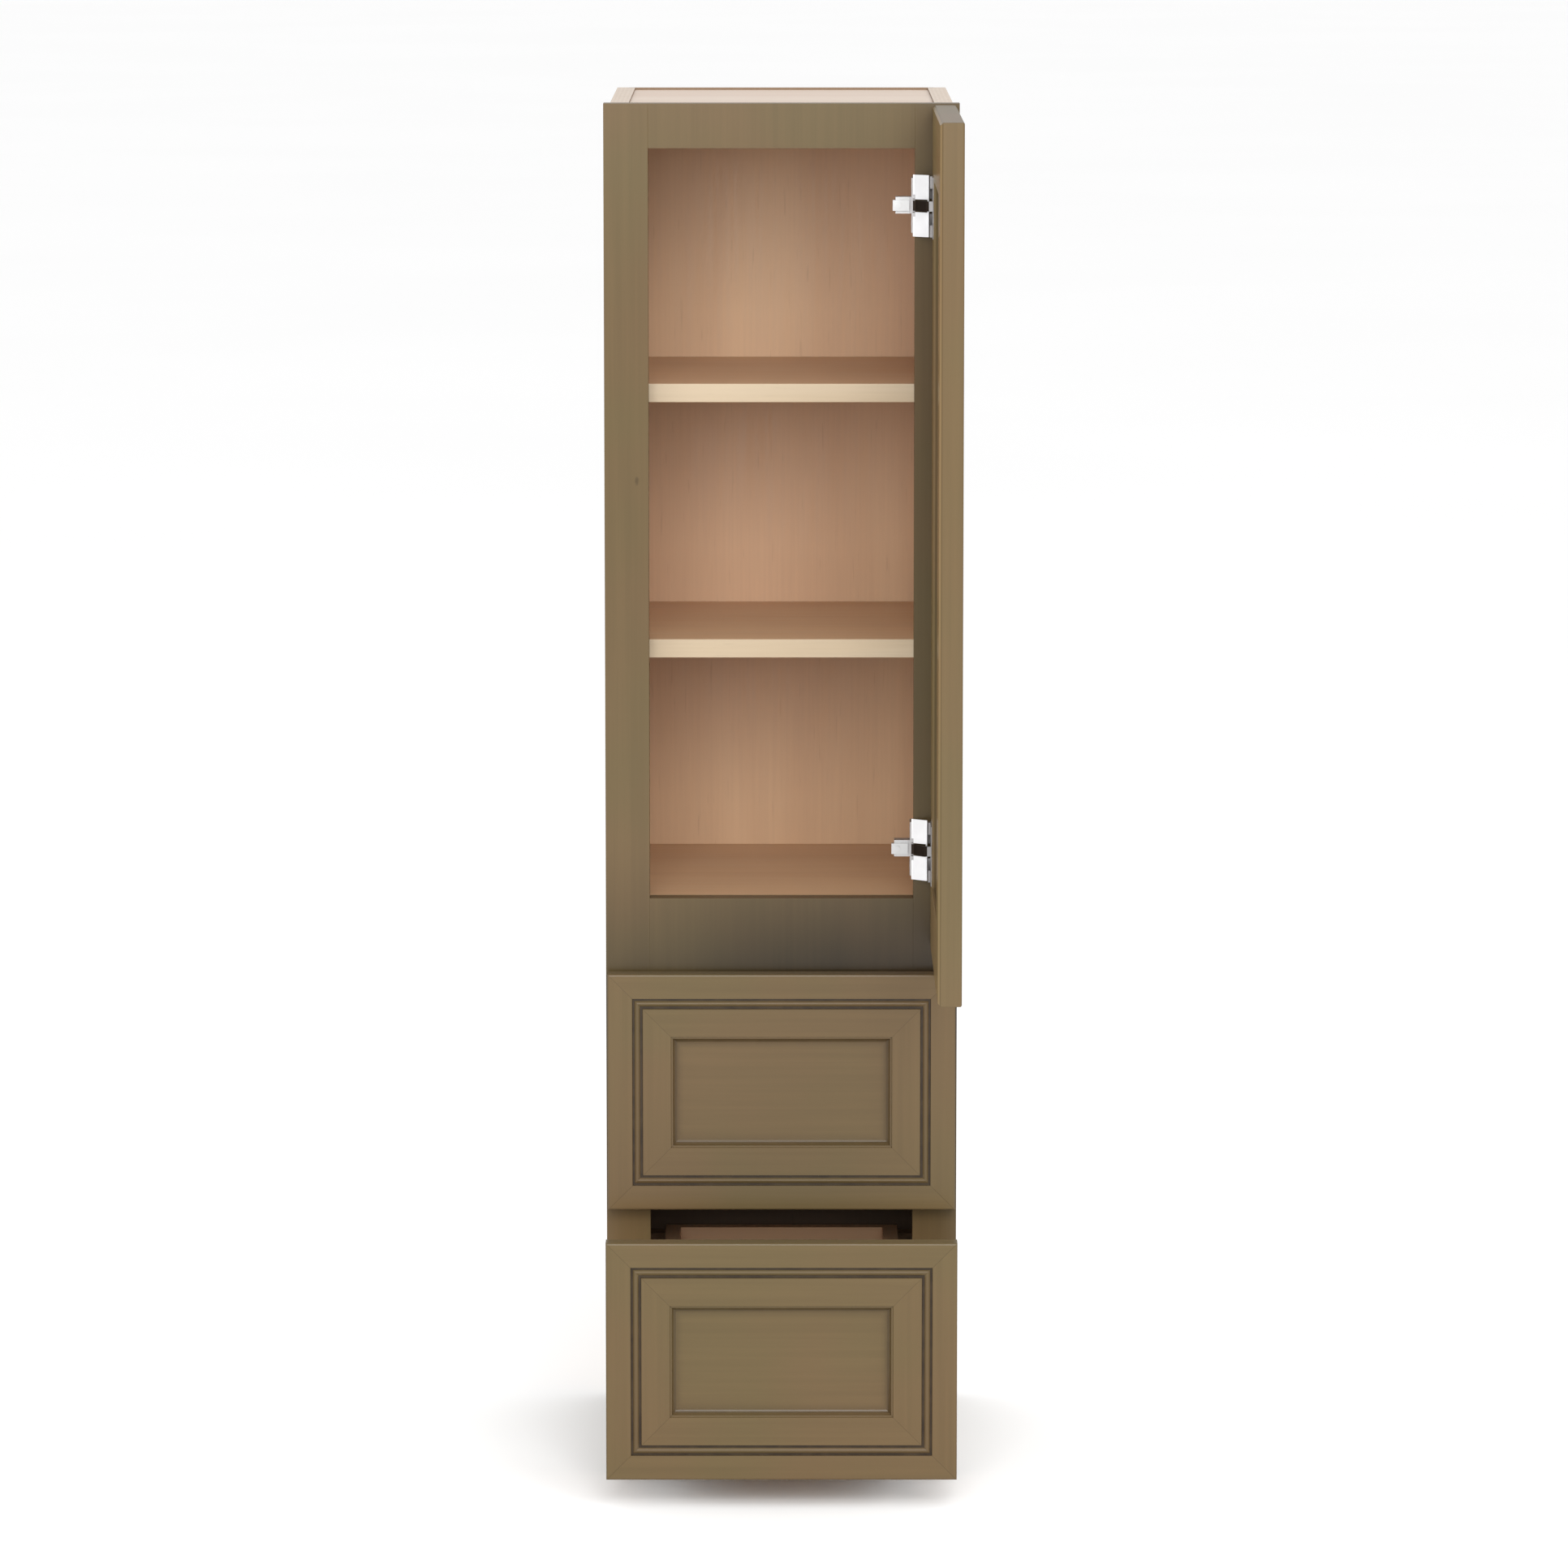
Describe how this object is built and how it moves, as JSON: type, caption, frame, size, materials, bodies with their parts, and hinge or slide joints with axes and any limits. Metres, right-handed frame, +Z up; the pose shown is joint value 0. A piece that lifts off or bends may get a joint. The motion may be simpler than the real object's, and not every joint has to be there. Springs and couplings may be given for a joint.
{
  "type": "pantry cabinet",
  "caption": "Narrow framed pantry cabinet: a tall right-hung recessed-panel door over shelves, with deep drawers on undermount slides below.",
  "frame": {"origin": "centre of the face frame's bottom edge, halfway through the frame's thickness, on the plane the cabinet stands on", "axes": "+Z up, +Y towards the wall behind the cabinet, +X towards the door's hinges, on the right as seen from the front"},
  "size_m": [0.3048, 0.6305, 1.2],
  "materials": {
    "drawer_maple": "clear satin lacquer",
    "maple": "clear satin lacquer",
    "nickel": "bright nickel plate",
    "nylon": "moulded",
    "paint": "satin glazed paint on maple",
    "raw_maple": "unfinished",
    "zinc": "zinc plate"
  },
  "bodies": {
    "carcass": {"frame_stile_left": "paint", "frame_stile_right": "paint", "frame_rail_top": "paint", "frame_rail_middle": "paint", "frame_rail_bottom": "paint", "side_panel_left": "maple", "side_panel_right": "maple", "top_panel": "raw_maple", "floor_panel": "maple", "bottom_panel": "maple", "back_panel": "maple", "hanging_rail_upper": "maple", "hanging_rail_lower": "maple", "shelf_upper": "maple", "shelf_lower": "maple", "shelf_pins": "zinc", "hinge_base_upper": "nickel", "hinge_base_lower": "nickel", "hinge_base_screws": "zinc", "slide_cabinet_members": "zinc", "slide_rear_brackets": "nylon"},
    "door": {"door_stile_hinge": "paint", "door_stile_latch": "paint", "door_rail_top": "paint", "door_rail_bottom": "paint", "door_panel": "paint", "hinge_cup_upper": "nickel", "hinge_cup_lower": "nickel", "hinge_cup_screws": "zinc", "hinge_pins": "zinc"},
    "hinge_link_plates": {"hinge_links": "nickel"},
    "upper_drawer": {"upper_front_stile_left": "paint", "upper_front_stile_right": "paint", "upper_front_rail_top": "paint", "upper_front_rail_bottom": "paint", "upper_front_panel": "paint", "upper_box_side_left": "drawer_maple", "upper_box_side_right": "drawer_maple", "upper_box_front": "drawer_maple", "upper_box_back": "drawer_maple", "upper_box_bottom": "drawer_maple", "upper_slide_runners": "zinc", "upper_locking_clips": "nylon", "upper_front_screws": "zinc"},
    "lower_drawer": {"lower_front_stile_left": "paint", "lower_front_stile_right": "paint", "lower_front_rail_top": "paint", "lower_front_rail_bottom": "paint", "lower_front_panel": "paint", "lower_box_side_left": "drawer_maple", "lower_box_side_right": "drawer_maple", "lower_box_front": "drawer_maple", "lower_box_back": "drawer_maple", "lower_box_bottom": "drawer_maple", "lower_slide_runners": "zinc", "lower_locking_clips": "nylon", "lower_front_screws": "zinc"},
    "upper_slide": {"upper_slide_middles": "zinc"},
    "lower_slide": {"lower_slide_middles": "zinc"}
  },
  "joints": [
    {"name": "door_hinge", "type": "hinge", "parent": "carcass", "child": "door", "pos_m": [0.14095, -0.0243, 0.8345], "axis": [0, 0, 1], "range_deg": [-90, 15]},
    {"name": "hinge_link_fold", "type": "hinge", "parent": "carcass", "child": "hinge_link_plates", "pos_m": [0.1132, -0.0106, 0.8345], "axis": [0, 0, 1], "range_deg": [-6.1, 36.1]},
    {"name": "upper_drawer_slide", "type": "slide", "parent": "carcass", "child": "upper_drawer", "axis": [0, -1, 0], "range_m": [0, 0.25]},
    {"name": "upper_slide_travel", "type": "slide", "parent": "carcass", "child": "upper_slide", "axis": [0, -1, 0], "range_m": [0, 0.1251]},
    {"name": "lower_drawer_slide", "type": "slide", "parent": "carcass", "child": "lower_drawer", "axis": [0, -1, 0], "range_m": [-0.1, 0.15]},
    {"name": "lower_slide_travel", "type": "slide", "parent": "carcass", "child": "lower_slide", "axis": [0, -1, 0], "range_m": [-0.0501, 0.0751]}
  ],
  "couplings": [
    {"joint": "hinge_link_fold", "follows": "door_hinge", "ratio": -0.4},
    {"joint": "upper_slide_travel", "follows": "upper_drawer_slide", "ratio": 0.5},
    {"joint": "lower_slide_travel", "follows": "lower_drawer_slide", "ratio": 0.5}
  ]
}
